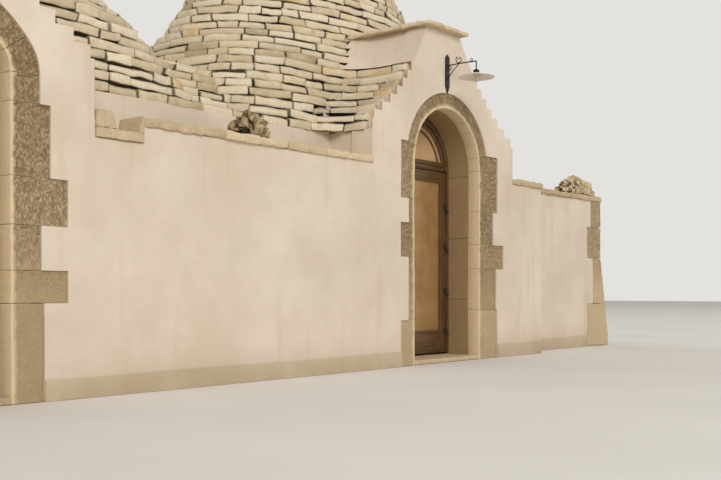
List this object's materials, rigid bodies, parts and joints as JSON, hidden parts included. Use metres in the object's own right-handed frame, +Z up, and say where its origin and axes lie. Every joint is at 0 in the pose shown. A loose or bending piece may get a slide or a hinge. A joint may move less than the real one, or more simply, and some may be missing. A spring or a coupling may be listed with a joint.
{
  "type": "trullo house",
  "caption": "Low whitewashed stone house with two gabled arched portals, a glazed door that opens, parapet gutters and oval dry-stone cone roofs.",
  "frame": {"origin": "on the ground, under the middle of the whole house's box", "axes": "+X along the front to the right as seen from outside, +Y from the front to the back, +Z up"},
  "size_m": [14.13, 4.68, 5.753],
  "materials": {
    "plaster": "rough lime plaster",
    "roof_stone": "split dry limestone",
    "dressed_stone": "pecked limestone",
    "slab_stone": "rough slabs",
    "floor_stone": "worn slabs",
    "karst_stone": "pitted dark limestone",
    "oak": "satin wood",
    "glass": "clear",
    "iron": "wrought iron, black",
    "enamel": "white enamel",
    "bulb_glass": "opal"
  },
  "bodies": {
    "house": {"floor": "floor_stone", "front_wall_left": "plaster", "front_wall_middle": "plaster", "front_wall_right": "plaster", "left_wing_wall": "plaster", "right_wing_wall": "plaster", "back_wall": "plaster", "left_end_wall": "plaster", "right_end_wall": "plaster", "middle_wall": "plaster", "left_gable": "plaster", "right_gable": "plaster", "left_gable_roof": "roof_stone", "right_gable_roof": "roof_stone", "gable_copings": "slab_stone", "left_arch": "dressed_stone", "right_arch": "dressed_stone", "left_jambs": "dressed_stone", "right_jambs": "dressed_stone", "thresholds": "floor_stone", "door_frame": "oak", "fanlight_glass": "glass", "frame_hinges": "iron", "left_door_frame": "oak", "left_door_leaf": "oak", "left_door_glass": "glass", "left_roof_base": "plaster", "right_roof_base": "plaster", "left_roof": "roof_stone", "right_roof": "roof_stone", "roof_valley": "roof_stone", "roof_caps": "dressed_stone", "parapet_coping": "slab_stone", "gutter_spout": "dressed_stone", "ornament_rocks": "karst_stone", "left_quoins": "dressed_stone", "right_quoins": "dressed_stone", "skirting": "slab_stone", "lamp_bracket": "iron", "lamp_shade": "enamel", "lamp_bulb": "bulb_glass"},
    "door": {"door_leaf": "oak", "door_glass": "glass", "door_handle": "iron", "leaf_hinges": "iron"}
  },
  "joints": [
    {"name": "door_swing", "type": "hinge", "parent": "house", "child": "door", "pos_m": [3.4315, -1.3905, 1], "axis": [0, 0, 1], "range_deg": [0, 90]}
  ]
}
